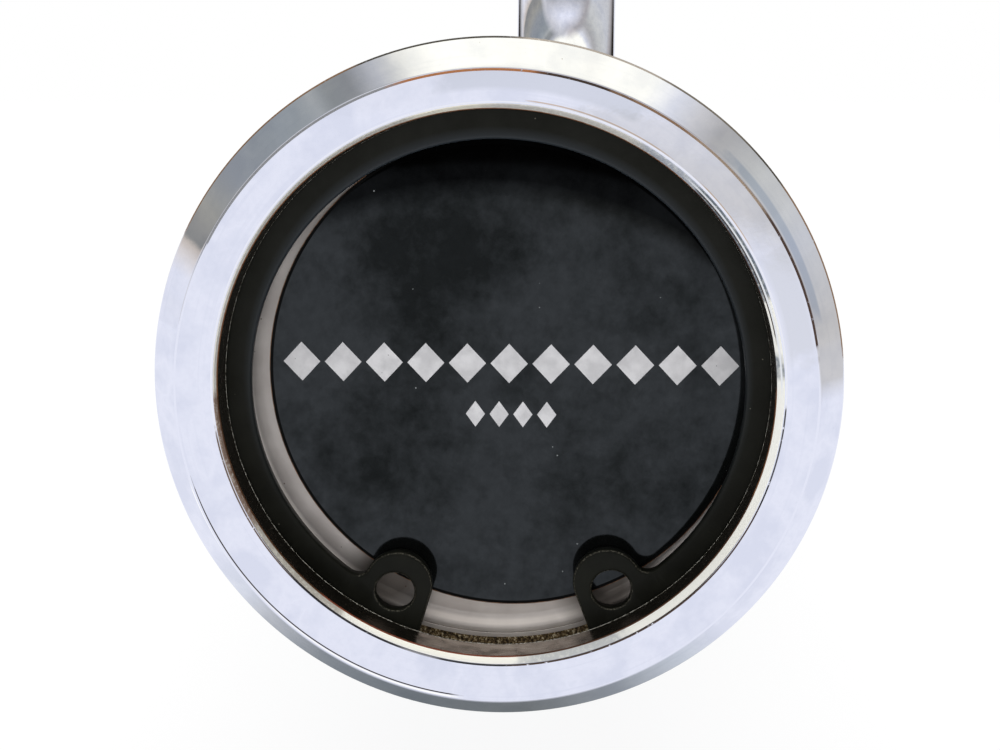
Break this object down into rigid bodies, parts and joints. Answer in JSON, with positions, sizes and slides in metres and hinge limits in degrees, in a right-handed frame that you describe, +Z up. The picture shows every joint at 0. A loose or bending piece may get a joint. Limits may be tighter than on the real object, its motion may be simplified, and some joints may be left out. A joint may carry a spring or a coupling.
{
  "type": "cambered bar",
  "caption": "Cambered squat barbell: a straight knurled top bar, bent risers and free-turning chromed sleeves with plate collars that hang below it.",
  "frame": {"origin": "middle of the top bar's axis", "axes": "+X along the bar towards the right sleeve, +Z up with the sleeves hanging below the top bar, Y across"},
  "size_m": [2.4264, 0.08, 0.4195],
  "materials": {
    "chrome": "polished hard chrome plate",
    "knurled_chrome": "hard chrome plate over diamond knurling",
    "chromed_weld": "chrome plate over a rippled weld",
    "bronze": "oiled sintered bronze",
    "ground_steel": "ground steel",
    "zinc_plate": "satin zinc plate with specks of rust",
    "black_phosphate": "black phosphate spring steel, worn at the edges",
    "gloss_label": "glossy black label"
  },
  "bodies": {
    "bar": {"top_bar": "knurled_chrome", "right_riser": "chrome", "right_top_weld": "chromed_weld", "right_spindle_weld": "chromed_weld", "right_inner_thrust_washer": "ground_steel", "right_outer_thrust_washer": "ground_steel", "right_spindle": "ground_steel", "right_spindle_circlip": "black_phosphate", "left_riser": "chrome", "left_top_weld": "chromed_weld", "left_spindle_weld": "chromed_weld", "left_inner_thrust_washer": "ground_steel", "left_outer_thrust_washer": "ground_steel", "left_spindle": "ground_steel", "left_spindle_circlip": "black_phosphate"},
    "right_sleeve": {"right_sleeve": "chrome", "right_sleeve_collar": "chrome", "right_collar_weld": "chromed_weld", "right_inner_bushing": "bronze", "right_outer_bushing": "bronze", "right_end_plate": "zinc_plate", "right_end_label": "gloss_label", "right_retaining_ring": "black_phosphate"},
    "left_sleeve": {"left_sleeve": "chrome", "left_sleeve_collar": "chrome", "left_collar_weld": "chromed_weld", "left_inner_bushing": "bronze", "left_outer_bushing": "bronze", "left_end_plate": "zinc_plate", "left_end_label": "gloss_label", "left_retaining_ring": "black_phosphate"}
  },
  "joints": [
    {"name": "right_sleeve_spin", "type": "hinge", "parent": "bar", "child": "right_sleeve", "pos_m": [1, 0, -0.356], "axis": [1, 0, 0], "continuous": true},
    {"name": "left_sleeve_spin", "type": "hinge", "parent": "bar", "child": "left_sleeve", "pos_m": [-1, 0, -0.356], "axis": [-1, 0, 0], "continuous": true}
  ]
}
